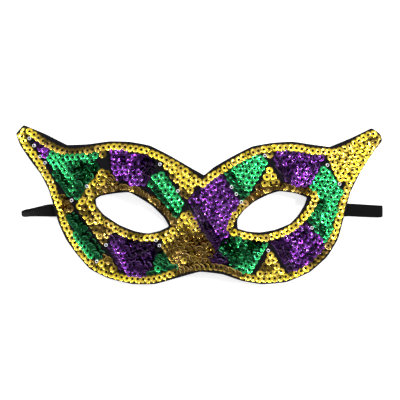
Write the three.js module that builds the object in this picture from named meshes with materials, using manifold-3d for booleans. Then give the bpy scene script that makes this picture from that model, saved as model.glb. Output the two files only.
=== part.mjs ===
import * as THREE from "three";
import { mergeVertices } from "three/addons/utils/BufferGeometryUtils.js";
import Module from "manifold-3d";

// A sequinned carnival half mask lying face up: millimetres, +Z up, brow towards +Y,
// origin on the surface it rests on, under the middle of the mask.

const wasm = await Module();
wasm.setup();

// Driving dimensions
const WALL = 2; // formed base with its cloth cover
const SEQUIN_DIAMETER = 5;
const SEQUIN_LAYER = 0.8; // height of one layer of overlapped sequins
const SEAT_GAP = 0.3; // between pieces that are sewn together
const EYE_ROW_INSET = 3.2; // eye hole edge to the middle of its sequin row
const BEAD_DIAMETER = 2.2;
const BEAD_HOLE = 0.9;
const BEAD_HEIGHT = 1.4;
const BEAD_CLEARANCE = 0.6; // room round a bead, which leans with the form
const BEAD_SIDES = 8;
const BEAD_SHOULDER = 0.5; // share of its height where the round side is full
const STRAP_WIDTH = 7.6;
const STRAP_THICKNESS = 1;
const STRAP_SECTIONS = 84;
const STRAP_SEAT = 1.45; // middle of the sewn strap below the back of the wall

// Fineness of the faceted form
const FORM_STEP = 9;
const OUTLINE_STEP = 6;
const FIELD = { width: 252, depth: 117, height: 60 };
const SLOPE_STEP = 0.5;
const WELD = 1e-3; // corners closer than this are one
const OFFSET_KEEP = 0.93; // share of its reach that a moved edge point keeps from the edge

// The formed shape: height of the back of the wall above the surface it lies on
const LIFT = 25.7;
const WRAP_RADIUS = 240; // bend across the face
const CROWN = { y: 5, radius: 160 }; // bend from brow to cheek
const LEAN = 0.21; // rise from cheek to brow
const NOSE = { x: 1, brow: 20, tip: -38, browHeight: 3, tipHeight: 12, browSpread: 11, tipSpread: 19 };
const SOCKET = { depth: 5, spreadX: 24, spreadY: 13 };
const SOCKET_CENTRES = [
  { x: -44, y: -4 },
  { x: 45.5, y: -4 },
];

const COLOURS = {
  cloth: { color: 0x15131a, roughness: 0.9, metalness: 0 },
  elastic: { color: 0x141416, roughness: 0.8, metalness: 0 },
  gold: { color: 0xd9a82c, roughness: 0.25, metalness: 0.9 },
  purple: { color: 0x5a1e96, roughness: 0.25, metalness: 0.8 },
  green: { color: 0x12a04c, roughness: 0.25, metalness: 0.8 },
  silver: { color: 0xd8d8dc, roughness: 0.15, metalness: 0.6 },
};

// Outer edge, anticlockwise seen from above: stretches that meet at corners,
// with the distance from the edge to the middle of its sequin row
const EDGE = [
  {
    name: "left brow",
    inset: 4.1,
    points: [
      [2.6, 19],
      [-6.5, 24.2],
      [-19.2, 31.6],
      [-32, 38],
      [-44.8, 40.4],
      [-57.6, 40.7],
      [-72, 38.8],
      [-84.8, 38.4],
    ],
  },
  {
    name: "left horn, top",
    inset: 4.4,
    points: [
      [-84.8, 38.4],
      [-98.6, 45.4],
      [-112.8, 51.3],
    ],
  },
  {
    name: "left horn, tip",
    inset: 3.4,
    points: [
      [-112.8, 51.3],
      [-117.8, 45.8],
    ],
  },
  {
    name: "left side, bottom and right side",
    inset: 3.2,
    points: [
      [-117.8, 45.8],
      [-115.2, 38.6],
      [-108.8, 29],
      [-101.8, 19.8],
      [-96.6, 9.6],
      [-93.4, -1.6],
      [-90.2, -12.2],
      [-85.8, -21.8],
      [-79.4, -30.8],
      [-70.4, -41],
      [-58.9, -46.8],
      [-43.5, -50.6],
      [-28.8, -50.6],
      [-16, -47],
      [0, -42.6],
      [14, -44.2],
      [27, -48.6],
      [39.7, -50.7],
      [55.7, -49.3],
      [70.4, -42.9],
      [81.3, -33.3],
      [88.3, -21.8],
      [92.2, -7],
      [96, 8],
      [102.4, 20.8],
      [110.7, 33.9],
      [116.5, 41],
      [115.5, 45.4],
      [109.8, 49.3],
    ],
  },
  {
    name: "right horn, top",
    inset: 3.6,
    points: [
      [109.8, 49.3],
      [97.3, 43.2],
      [82.6, 37.1],
    ],
  },
  {
    name: "right brow",
    inset: 3.8,
    points: [
      [82.6, 37.1],
      [70.4, 38.8],
      [58.9, 40.5],
      [46.1, 39.7],
      [33.3, 37.4],
      [20.5, 31],
      [9, 24.3],
      [2.6, 19],
    ],
  },
];

// Eye holes, anticlockwise, each a stretch over the lid and one under it
const LEFT_EYE = [
  {
    name: "left lid",
    points: [
      [-19.8, -13.6],
      [-23, -8],
      [-30.7, -0.4],
      [-38.4, 4.5],
      [-45.1, 8.1],
      [-54.4, 7.4],
      [-63.4, 5.8],
      [-66.6, 3.8],
    ],
  },
  {
    name: "left lower rim",
    points: [
      [-66.6, 3.8],
      [-66, -0.6],
      [-61.4, -6.1],
      [-51.2, -12.8],
      [-41.6, -16.6],
      [-33.3, -18.1],
      [-25.6, -16.4],
      [-19.8, -13.6],
    ],
  },
];
const RIGHT_EYE = [
  {
    name: "right lid",
    points: [
      [68.2, 4.8],
      [61.4, 7.4],
      [50.6, 8.8],
      [43.5, 6.6],
      [34.6, 2.1],
      [27.8, -3.6],
      [23.9, -9],
      [24, -15],
    ],
  },
  {
    name: "right lower rim",
    points: [
      [24, -15],
      [30.1, -16.8],
      [38.4, -17.4],
      [48, -15.7],
      [57.6, -11.8],
      [62.7, -6.4],
      [66.6, 0],
      [68.2, 4.8],
    ],
  },
];

// Harlequin patches: corners seen from above; the edge row and the eye rows trim what runs under them
const PATCHES = [
  { name: "purple_horn_left", film: "purple", corners: [[-108, 42], [-98.5, 31], [-93.5, 35]] },
  {
    name: "green_temple_left",
    film: "green",
    corners: [[-97.5, 28], [-79, 2], [-64.5, 25.5], [-65.5, 34], [-93.5, 34]],
  },
  { name: "gold_temple_left", film: "gold", corners: [[-92, 13.5], [-86, -6.5], [-82.5, -0.5], [-85, 5]] },
  {
    name: "gold_eye_left",
    film: "gold",
    corners: [[-62.5, 24], [-78.5, -0.5], [-61.5, -24.5], [-43.5, 0], [-56.5, 17.5]],
  },
  { name: "gold_chip_left", film: "gold", corners: [[-64.3, 36], [-62, 29.5], [-60.2, 36]] },
  {
    name: "purple_brow_left",
    film: "purple",
    corners: [[-59.5, 34], [-49.5, 9.5], [-37, 10], [-25, 32], [-56.5, 36.5]],
  },
  {
    name: "green_brow_left",
    film: "green",
    corners: [[-28, 23], [-35, 11.5], [-14.5, -9], [-9.5, -0.5], [-23, 23]],
  },
  { name: "gold_crown", film: "gold", corners: [[-24.5, 29.5], [-8, 2.5], [0.5, 11.5]] },
  {
    name: "purple_nose",
    film: "purple",
    corners: [[2, 10], [-7, 0.5], [8.5, -24.5], [14, -22.5], [25.5, 1.5], [14.5, 19.5]],
  },
  {
    name: "gold_nose",
    film: "gold",
    corners: [[-8, -3], [-24.5, -27], [-13, -40.5], [2, -40.5], [7.5, -28]],
  },
  { name: "purple_chin", film: "purple", corners: [[8.5, -31.5], [3.5, -39], [14.5, -39]] },
  { name: "green_brow_right", film: "green", corners: [[16, 22], [28, 2.5], [43, 27], [39.5, 35]] },
  { name: "gold_chip_right", film: "gold", corners: [[42.5, 35], [45, 29.5], [48, 35]] },
  { name: "gold_brow_right", film: "gold", corners: [[44, 24.5], [30, 1.5], [54, 9]] },
  {
    name: "purple_brow_right",
    film: "purple",
    corners: [[46.5, 27], [58, 8.5], [68, 8.5], [79.5, 33.5], [50.5, 36.5]],
  },
  {
    name: "green_temple_right",
    film: "green",
    corners: [[79.5, 23.5], [69, 7.5], [69, -7.5], [81, -25], [96, 0.5]],
  },
  { name: "gold_horn_right", film: "gold", corners: [[81.5, 32.5], [93.5, 7.5], [120, 51]] },
  {
    name: "purple_cheek_right",
    film: "purple",
    corners: [[45, -23], [58, -46], [79.5, -27.5], [68, -9]],
  },
  {
    name: "green_cheek_right",
    film: "green",
    corners: [[12.5, -26], [27.5, -45], [32, -46], [42, -29], [44, -23.5], [21, -15.5]],
  },
  { name: "gold_cheek_right", film: "gold", corners: [[44.5, -31.5], [33.5, -48], [55, -48]] },
  {
    name: "purple_cheek_left",
    film: "purple",
    corners: [[-56.5, -20], [-57.5, -26], [-46, -48.5], [-37, -48.5], [-27.5, -29], [-27, -24.5]],
  },
  {
    name: "green_chin",
    film: "green",
    corners: [[-24.5, -31.5], [-34.5, -48], [-19, -48], [-14, -42]],
  },
  {
    name: "green_cheek_left",
    film: "green",
    corners: [[-82.5, -5.5], [-86, -12], [-66.5, -38], [-61, -29.5], [-78.5, -6]],
  },
  { name: "gold_cheek_left", film: "gold", corners: [[-59.5, -31.5], [-68, -41], [-50, -48.5]] },
];

// Seed beads, where the threads of the patches end
const BEADS = [
  { x: -109, y: 42.5 },
  { x: -106, y: 38 },
  { x: -102, y: 31 },
  { x: -99, y: 27 },
  { x: -82, y: 3 },
  { x: -72, y: 12 },
  { x: -25.5, y: 26 },
  { x: -14, y: 9 },
  { x: -60, y: -25.5 },
  { x: -66, y: -36 },
  { x: -28, y: -22.5 },
  { x: -25.8, y: -25.8 },
  { x: 81.2, y: 25.5 },
  { x: 89, y: 13.5 },
  { x: 71.5, y: -14.5 },
  { x: 20, y: 11.5 },
  { x: 23, y: 7 },
  { x: 43.5, y: -29 },
  { x: 41.3, y: 31.5 },
  { x: 26.2, y: 2 },
];

const smoothstep = (t) => t * t * (3 - 2 * t);
const bell = (d, spread) => Math.exp(-(d * d) / (2 * spread * spread));

// Height of the back of the wall
function backHeight(x, y) {
  const wrap = WRAP_RADIUS - Math.sqrt(WRAP_RADIUS ** 2 - x * x);
  const crown = (y - CROWN.y) ** 2 / (2 * CROWN.radius);
  const down = smoothstep(THREE.MathUtils.clamp((NOSE.brow - y) / (NOSE.brow - NOSE.tip), 0, 1));
  const noseHeight = THREE.MathUtils.lerp(NOSE.browHeight, NOSE.tipHeight, down);
  const noseSpread = THREE.MathUtils.lerp(NOSE.browSpread, NOSE.tipSpread, down);
  const nose = noseHeight * bell(x - NOSE.x, noseSpread);
  let sockets = 0;
  for (const eye of SOCKET_CENTRES) {
    sockets += SOCKET.depth * bell(x - eye.x, SOCKET.spreadX) * bell(y - eye.y, SOCKET.spreadY);
  }
  return LIFT - wrap - crown + LEAN * y + nose - sockets;
}

// Unit normal of the form, facing out of the front
function formNormal(x, y) {
  const h = SLOPE_STEP;
  const slopeX = (backHeight(x + h, y) - backHeight(x - h, y)) / (2 * h);
  const slopeY = (backHeight(x, y + h) - backHeight(x, y - h)) / (2 * h);
  return new THREE.Vector3(-slopeX, -slopeY, 1).normalize();
}

// Height of a layer that lies a given distance in front of the back
function layerHeight(x, y, distance) {
  return backHeight(x, y) + distance / formNormal(x, y).z;
}

function solidFrom(geometry) {
  geometry.deleteAttribute("normal");
  geometry.deleteAttribute("uv");
  const merged = mergeVertices(geometry, WELD);
  return new wasm.Manifold(
    new wasm.Mesh({
      numProp: 3,
      vertProperties: new Float32Array(merged.attributes.position.array),
      triVerts: new Uint32Array(merged.index.array),
    }),
  );
}

function geometryFrom(solid) {
  const { vertProperties, triVerts } = solid.getMesh();
  const geometry = new THREE.BufferGeometry();
  geometry.setAttribute("position", new THREE.BufferAttribute(vertProperties, 3));
  geometry.setIndex(new THREE.BufferAttribute(triVerts, 1));
  geometry.computeVertexNormals();
  return geometry;
}

// A block whose top follows the form a given distance in front of the back
function formedBlock(distance) {
  const columns = Math.round(FIELD.width / FORM_STEP);
  const rows = Math.round(FIELD.depth / FORM_STEP);
  const block = new THREE.BoxGeometry(FIELD.width, FIELD.depth, 1, columns, rows, 1);
  const position = block.attributes.position;
  for (let i = 0; i < position.count; i += 1) {
    const top = layerHeight(position.getX(i), position.getY(i), distance);
    position.setZ(i, position.getZ(i) > 0 ? top : -FIELD.height);
  }
  return solidFrom(block);
}

// A formed sheet between two distances in front of the back, before its outline is cut
const formedSheet = (near, far) => formedBlock(far).subtract(formedBlock(near));

// Points along an edge made of stretches, each with the inset of its stretch
function tracePoints(stretches) {
  const trace = [];
  for (const { points, inset = 0 } of stretches) {
    const curve = new THREE.CatmullRomCurve3(
      points.map(([x, y]) => new THREE.Vector3(x, y, 0)),
      false,
      "centripetal",
    );
    const steps = Math.max(1, Math.round(curve.getLength() / OUTLINE_STEP));
    const spaced = curve.getSpacedPoints(steps).slice(0, steps);
    trace.push(...spaced.map(({ x, y }) => ({ x, y, inset })));
  }
  return trace;
}

function distanceToTrace(x, y, trace) {
  const segment = new THREE.Line3();
  const point = new THREE.Vector3(x, y, 0);
  const nearest = new THREE.Vector3();
  let least = Infinity;
  trace.forEach((start, i) => {
    const end = trace[(i + 1) % trace.length];
    segment.start.set(start.x, start.y, 0);
    segment.end.set(end.x, end.y, 0);
    segment.closestPointToPoint(point, true, nearest);
    least = Math.min(least, nearest.distanceTo(point));
  });
  return least;
}

const leftOf = (from, to) => new THREE.Vector2(from.y - to.y, to.x - from.x).normalize();

// The same edge moved to its left by its own inset plus an extra distance, with mitred corners
function offsetTrace(trace, extra) {
  const moved = [];
  trace.forEach((here, i) => {
    const arriving = leftOf(trace[(i + trace.length - 1) % trace.length], here);
    const leaving = leftOf(here, trace[(i + 1) % trace.length]);
    const reach = here.inset + extra;
    const mitre = arriving.clone().add(leaving).multiplyScalar(reach / (1 + arriving.dot(leaving)));
    const point = { x: here.x + mitre.x, y: here.y + mitre.y, inset: 0 };
    if (distanceToTrace(point.x, point.y, trace) > OFFSET_KEEP * Math.abs(reach)) {
      moved.push(point);
    }
  });
  return moved;
}

const shapeOf = (points) => new THREE.Shape(points.map(({ x, y }) => new THREE.Vector2(x, y)));

// A straight-sided block over an outline, from the resting surface up
function prism(points) {
  const settings = { depth: FIELD.height, bevelEnabled: false };
  return solidFrom(new THREE.ExtrudeGeometry(shapeOf(points), settings));
}

const edgeTrace = tracePoints(EDGE);
const leftEyeTrace = tracePoints(LEFT_EYE);
const rightEyeTrace = tracePoints(RIGHT_EYE);
const halfRow = SEQUIN_DIAMETER / 2;
const edgeRowInner = offsetTrace(edgeTrace, halfRow);
const EYE_ROWS = [
  { name: "left_eye_sequins", trace: leftEyeTrace },
  { name: "right_eye_sequins", trace: rightEyeTrace },
];
for (const row of EYE_ROWS) {
  row.outer = offsetTrace(row.trace, -(EYE_ROW_INSET + halfRow));
  row.inner = offsetTrace(row.trace, -(EYE_ROW_INSET - halfRow));
}
const sequinSheet = formedSheet(WALL + SEAT_GAP, WALL + SEAT_GAP + SEQUIN_LAYER);

const mask = new THREE.Group();

function addPiece(name, solid, finish) {
  const mesh = new THREE.Mesh(geometryFrom(solid), new THREE.MeshStandardMaterial(COLOURS[finish]));
  mesh.name = name;
  mask.add(mesh);
}

// Clear column round every bead
function beadWells() {
  const radius = BEAD_DIAMETER / 2 + BEAD_CLEARANCE;
  return BEADS.map(({ x, y }) => {
    const well = new THREE.CylinderGeometry(radius, radius, FIELD.height, BEAD_SIDES);
    well.rotateX(Math.PI / 2);
    well.translate(x, y, FIELD.height / 2);
    return solidFrom(well);
  });
}

const wells = beadWells();
const withoutWells = (solid) => wells.reduce((left, well) => left.subtract(well), solid);

function addShell() {
  const outline = prism(edgeTrace).subtract(prism(leftEyeTrace)).subtract(prism(rightEyeTrace));
  addPiece("mask_shell", formedSheet(0, WALL).intersect(outline), "cloth");
}

function addRows() {
  const edgeBand = prism(offsetTrace(edgeTrace, -halfRow)).subtract(prism(edgeRowInner));
  addPiece("border_sequins", withoutWells(sequinSheet.intersect(edgeBand)), "gold");
  for (const { name, outer, inner } of EYE_ROWS) {
    const eyeBand = prism(outer).subtract(prism(inner));
    addPiece(name, withoutWells(sequinSheet.intersect(eyeBand)), "gold");
  }
}

function addPatches() {
  let field = prism(offsetTrace(edgeRowInner, SEAT_GAP));
  for (const { outer } of EYE_ROWS) {
    field = field.subtract(prism(offsetTrace(outer, -SEAT_GAP)));
  }
  const fieldSheet = withoutWells(sequinSheet.intersect(field));
  for (const { name, film, corners } of PATCHES) {
    const outline = corners.map(([x, y]) => ({ x, y }));
    addPiece(name, fieldSheet.intersect(prism(outline)), film);
  }
}

// A short tube with rounded ends, its hole along the normal of the form
function addBeads() {
  const outer = BEAD_DIAMETER / 2;
  const inner = BEAD_HOLE / 2;
  const half = BEAD_HEIGHT / 2;
  const profile = [
    [inner, -half],
    [outer, -half * BEAD_SHOULDER],
    [outer, half * BEAD_SHOULDER],
    [inner, half],
    [inner, -half],
  ].map(([r, z]) => new THREE.Vector2(r, z));
  const seat = WALL + SEAT_GAP + half;
  BEADS.forEach(({ x, y }, i) => {
    const ring = new THREE.LatheGeometry(profile, BEAD_SIDES);
    ring.rotateX(Math.PI / 2);
    const normal = formNormal(x, y);
    const turn = new THREE.Quaternion().setFromUnitVectors(new THREE.Vector3(0, 0, 1), normal);
    ring.applyQuaternion(turn);
    ring.translate(x, y, layerHeight(x, y, seat));
    addPiece(`seed_bead_${String(i + 1).padStart(2, "0")}`, solidFrom(ring), "silver");
  });
}

const sewn = (x, y) => backHeight(x, y) - STRAP_SEAT;
const laid = STRAP_THICKNESS / 2;

// Middle line of the elastic, from its right sewn end round under the mask to its left one;
// lean is the angle by which its +Y edge is raised, in degrees
const STRAP_ROUTE = [
  { x: 77, y: -2, z: sewn(77, -2), lean: 14 },
  { x: 84, y: -2.2, z: sewn(84, -2.2), lean: 14 },
  { x: 91, y: -2.6, z: sewn(91, -2.6), lean: 12 },
  { x: 99, y: -3, z: 4.3, lean: 8 },
  { x: 107, y: -3.5, z: 4.2, lean: 4 },
  { x: 113.2, y: -3.9, z: 4.3, lean: 2 },
  { x: 115.8, y: -4, z: 3.7, lean: 0 },
  { x: 116.5, y: -4, z: 2.4, lean: 0 },
  { x: 115.8, y: -4.1, z: 1.1, lean: 0 },
  { x: 113.2, y: -4.2, z: laid, lean: 0 },
  { x: 104, y: -3.9, z: laid, lean: 0 },
  { x: 92, y: -3.6, z: laid, lean: 0 },
  { x: 82, y: -5.8, z: laid, lean: 0 },
  { x: 71, y: -13, z: laid, lean: 0 },
  { x: 58, y: -22.5, z: laid, lean: 0 },
  { x: 42, y: -29.8, z: laid, lean: 0 },
  { x: 22, y: -33, z: laid, lean: 0 },
  { x: 0, y: -33.8, z: laid, lean: 0 },
  { x: -22, y: -33, z: laid, lean: 0 },
  { x: -44, y: -30, z: laid, lean: 0 },
  { x: -62, y: -23, z: laid, lean: 0 },
  { x: -77, y: -13.5, z: laid, lean: 0 },
  { x: -87, y: -5.2, z: 0.8, lean: 4 },
  { x: -93, y: -3.2, z: 1.5, lean: 14 },
  { x: -98, y: -3.1, z: 2.3, lean: 30 },
  { x: -103, y: -3.6, z: 3.1, lean: 46 },
  { x: -108.5, y: -4.2, z: 3.6, lean: 60 },
  { x: -112.6, y: -4.75, z: 3.9, lean: 68 },
  { x: -113.8, y: -5.4, z: 4.2, lean: 68 },
  { x: -112.6, y: -6, z: 4.5, lean: 68 },
  { x: -108.5, y: -5.4, z: 4.4, lean: 60 },
  { x: -103, y: -4.7, z: 4.4, lean: 46 },
  { x: -98, y: -4.1, z: 4.4, lean: 30 },
  { x: -93, y: -3.8, z: 3.9, lean: 16 },
  { x: -88, y: -3.6, z: sewn(-88, -3.6), lean: 14 },
  { x: -82, y: -3.5, z: sewn(-82, -3.5), lean: 14 },
  { x: -75, y: -3.5, z: sewn(-75, -3.5), lean: 14 },
];

// A flat band bent along its route
function addStrap() {
  const route = new THREE.CatmullRomCurve3(
    STRAP_ROUTE.map(({ x, y, z }) => new THREE.Vector3(x, y, z)),
    false,
    "centripetal",
  );
  const spans = STRAP_ROUTE.length - 1;
  const leanAt = (t) => {
    const row = Math.min(Math.floor(t * spans), spans - 1);
    return THREE.MathUtils.lerp(STRAP_ROUTE[row].lean, STRAP_ROUTE[row + 1].lean, t * spans - row);
  };
  const band = new THREE.BoxGeometry(1, STRAP_WIDTH, STRAP_THICKNESS, STRAP_SECTIONS, 1, 1);
  const position = band.attributes.position;
  for (let i = 0; i < position.count; i += 1) {
    const t = THREE.MathUtils.clamp(position.getX(i) + 0.5, 0, 1);
    const tangent = route.getTangent(t);
    const lean = THREE.MathUtils.degToRad(leanAt(t));
    const across = new THREE.Vector3(0, Math.cos(lean), Math.sin(lean));
    across.addScaledVector(tangent, -across.dot(tangent)).normalize();
    const outward = new THREE.Vector3().crossVectors(tangent, across);
    const point = route.getPoint(t);
    point.addScaledVector(across, position.getY(i)).addScaledVector(outward, position.getZ(i));
    position.setXYZ(i, point.x, point.y, Math.max(point.z, 0));
  }
  addPiece("elastic_strap", solidFrom(band), "elastic");
}

addShell();
addRows();
addPatches();
addBeads();
addStrap();

export default mask;
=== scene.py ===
import math
import random

import bmesh
import bpy
import numpy as np
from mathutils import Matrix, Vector, geometry, noise
from numpy.linalg import norm


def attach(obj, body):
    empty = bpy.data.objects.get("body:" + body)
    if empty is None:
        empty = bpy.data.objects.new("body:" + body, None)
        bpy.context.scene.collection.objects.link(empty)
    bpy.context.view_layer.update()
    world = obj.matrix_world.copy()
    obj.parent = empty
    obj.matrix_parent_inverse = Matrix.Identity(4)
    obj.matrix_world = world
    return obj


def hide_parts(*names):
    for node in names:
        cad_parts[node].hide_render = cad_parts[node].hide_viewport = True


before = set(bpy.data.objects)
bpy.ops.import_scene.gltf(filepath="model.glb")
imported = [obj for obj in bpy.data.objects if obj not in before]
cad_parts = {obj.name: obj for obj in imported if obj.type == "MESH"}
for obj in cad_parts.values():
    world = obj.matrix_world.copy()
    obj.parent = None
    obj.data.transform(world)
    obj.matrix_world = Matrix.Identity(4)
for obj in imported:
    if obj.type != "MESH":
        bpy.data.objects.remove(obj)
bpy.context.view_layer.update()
print("frame loaded:", len(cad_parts), "nodes")

scene = bpy.context.scene
mm = 0.001  # the tables below are in millimetres


# the formed shape

form = {
    "lift": 25.7,  # height of the back in the middle
    "wrap": 240.0,  # bend across the face
    "crownY": 5.0,
    "crown": 160.0,  # bend from brow to cheek
    "lean": 0.21,  # slope up to the brow
    "wall": 2.0,
    "nose": {"x": 1.0, "brow": 20.0, "tip": -38.0, "low": 3.0, "high": 12.0, "narrow": 11.0, "wide": 19.0},
    "socket": {"depth": 5.0, "spreadX": 24.0, "spreadY": 13.0, "at": ((-44.0, -4.0), (45.5, -4.0))},
}


def unit(way):
    return way / norm(way)


def bell(d, spread):
    return math.exp(-d * d / (2 * spread * spread))


def backHeight(x, y):
    nose, socket = form["nose"], form["socket"]
    wrap = form["wrap"] - math.sqrt(form["wrap"] ** 2 - x * x)
    crown = (y - form["crownY"]) ** 2 / (2 * form["crown"])
    t = min(max((nose["brow"] - y) / (nose["brow"] - nose["tip"]), 0.0), 1.0)
    t = t * t * (3 - 2 * t)
    spread = nose["narrow"] + (nose["wide"] - nose["narrow"]) * t
    rise = (nose["low"] + (nose["high"] - nose["low"]) * t) * bell(x - nose["x"], spread)
    dip = 0.0
    for eyeX, eyeY in socket["at"]:
        dip += socket["depth"] * bell(x - eyeX, socket["spreadX"]) * bell(y - eyeY, socket["spreadY"])
    return form["lift"] - wrap - crown + form["lean"] * y + rise - dip


def clothTilt(x, y):  # x and y of the outward normal, for a normal with z = 1
    h = 0.5  # half the span that the slope is taken over
    return np.array((
        (backHeight(x - h, y) - backHeight(x + h, y)) / (2 * h),
        (backHeight(x, y - h) - backHeight(x, y + h)) / (2 * h),
    ))


def clothNormal(x, y):
    tx, ty = clothTilt(x, y)
    return np.array((tx, ty, 1.0)) / math.sqrt(tx * tx + ty * ty + 1)


def clothPoint(x, y, out):  # out: distance in front of the back of the wall
    return np.array((x, y, backHeight(x, y) + out / clothNormal(x, y)[2]))


# outlines, anticlockwise seen from the front

edge = {
    "step": 0.8,  # between the points of an outline
    "soften": 1,  # passes that round the cut corners
    "straight": 0.7,  # share of the straight cut between two points
    "fine": 24,  # steps from point to point of a cut edge
    "rowFine": 12,  # and of a sequin row
    "stretches": [  # cut edges, each from a corner to the first point of the next
        [(2.6, 19), (-6.5, 24.2), (-19.2, 31.6), (-32, 38), (-44.8, 40.4), (-57.6, 40.7), (-72, 38.8)],
        [(-84.8, 38.4), (-98.6, 45.4)],
        [(-112.8, 51.3)],
        [(-117.8, 45.8), (-115.2, 38.6), (-108.8, 29), (-101.8, 19.8), (-96.6, 9.6), (-93.4, -1.6),
         (-90.2, -12.2), (-85.8, -21.8), (-79.4, -30.8), (-70.4, -41), (-58.9, -46.8), (-43.5, -50.6),
         (-28.8, -50.6), (-16, -47), (0, -42.6), (14, -44.2), (27, -48.6), (39.7, -50.7), (55.7, -49.3),
         (70.4, -42.9), (81.3, -33.3), (88.3, -21.8), (92.2, -7), (96, 8), (102.4, 20.8), (110.7, 33.9),
         (116.5, 41), (115.5, 45.4)],
        [(109.8, 49.3), (97.3, 43.2)],
        [(82.6, 37.1), (70.4, 38.8), (58.9, 40.5), (46.1, 39.7), (33.3, 37.4), (20.5, 31), (9, 24.3)],
    ],
}
eyes = {
    "left": [
        [(-19.8, -13.6), (-23, -8), (-30.7, -0.4), (-38.4, 4.5), (-45.1, 8.1), (-54.4, 7.4), (-63.4, 5.8)],
        [(-66.6, 3.8), (-66, -0.6), (-61.4, -6.1), (-51.2, -12.8), (-41.6, -16.6), (-33.3, -18.1),
         (-25.6, -16.4)],
    ],
    "right": [
        [(68.2, 4.8), (61.4, 7.4), (50.6, 8.8), (43.5, 6.6), (34.6, 2.1), (27.8, -3.6), (23.9, -9)],
        [(24, -15), (30.1, -16.8), (38.4, -17.4), (48, -15.7), (57.6, -11.8), (62.7, -6.4), (66.6, 0)],
    ],
}
tiny = 1e-9  # keeps a division away from nought


def curvePoint(points, row, t):  # centripetal curve through the points
    p1, p2 = points[row], points[row + 1]
    p0 = points[row - 1] if row > 0 else 2 * p1 - p2
    p3 = points[row + 2] if row + 2 < len(points) else 2 * p2 - p1
    d0, d1, d2 = (max(norm(b - a), tiny) ** 0.5 for a, b in ((p0, p1), (p1, p2), (p2, p3)))
    m1 = ((p1 - p0) / d0 - (p2 - p0) / (d0 + d1) + (p2 - p1) / d1) * d1
    m2 = ((p2 - p1) / d1 - (p3 - p1) / (d1 + d2) + (p3 - p2) / d2) * d1
    return p1 + m1 * t + (3 * p2 - 3 * p1 - 2 * m1 - m2) * t ** 2 + (2 * p1 - 2 * p2 + m1 + m2) * t ** 3


def runAlong(line, weight=1.0):  # distance from the first point to each point
    return np.concatenate(((0.0,), np.cumsum(norm(np.diff(line, axis=0), axis=1) * weight)))


def pointsAt(line, run, at):
    return np.stack([np.interp(at, run, line[:, k]) for k in range(line.shape[1])], axis=1)


def evenly(line):  # points at even steps along a line, without its last
    run = runAlong(line)
    count = max(2, round(run[-1] / edge["step"]))
    return pointsAt(line, run, np.linspace(0, run[-1], count, endpoint=False))


def outlineOf(stretches):
    line = []
    for points, after in zip(stretches, stretches[1:] + stretches[:1]):
        points = [np.array(p, float) for p in points + after[:1]]
        fine = [points[0]]
        for row in range(len(points) - 1):
            for t in np.linspace(0, 1, edge["fine"], endpoint=False) + 1 / edge["fine"]:
                cut = points[row] + (points[row + 1] - points[row]) * t
                fine.append(curvePoint(points, row, t) * (1 - edge["straight"]) + cut * edge["straight"])
        line += list(evenly(np.array(fine)))
    line = np.array(line)
    for turn in range(edge["soften"]):
        line = 0.25 * np.roll(line, 1, 0) + 0.5 * line + 0.25 * np.roll(line, -1, 0)
    return line


def headings(line):  # unit vectors along a closed line
    along = np.roll(line, -1, 0) - np.roll(line, 1, 0)
    return along / norm(along, axis=1)[:, None]


def leftOf(line):
    along = headings(line)
    return np.stack((-along[:, 1], along[:, 0]), axis=1)


def inside(spots, loop):  # which spots a closed line holds
    x, y = spots[:, 0, None], spots[:, 1, None]
    ax, ay = loop[None, :, 0], loop[None, :, 1]
    bx, by = np.roll(ax, -1, 1), np.roll(ay, -1, 1)
    rise = np.where(by == ay, tiny, by - ay)
    crosses = ((ay > y) != (by > y)) & (x < ax + (y - ay) / rise * (bx - ax))
    return np.count_nonzero(crosses, axis=1) % 2 == 1


def awayFrom(spots, line, closed=True):  # distances to a line
    a = line if closed else line[:-1]
    b = np.roll(line, -1, 0) if closed else line[1:]
    span = b - a
    off = spots[:, None, :] - a[None]
    t = (off * span).sum(2) / np.maximum((span * span).sum(1), tiny)
    off -= span[None] * np.clip(t, 0, 1)[:, :, None]
    return np.sqrt((off * off).sum(2)).min(1)


def closedCurve(points):
    points = [np.array(p, float) for p in points]
    ring = points[-2:] + points + points[:2]
    shares = np.linspace(0, 1, edge["rowFine"], endpoint=False)
    fine = [curvePoint(ring, row, t) for row in range(2, len(points) + 2) for t in shares]
    return evenly(np.array(fine + fine[:1]))


outerLine = outlineOf(edge["stretches"])
eyeLines = {side: outlineOf(stretches) for side, stretches in eyes.items()}

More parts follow.
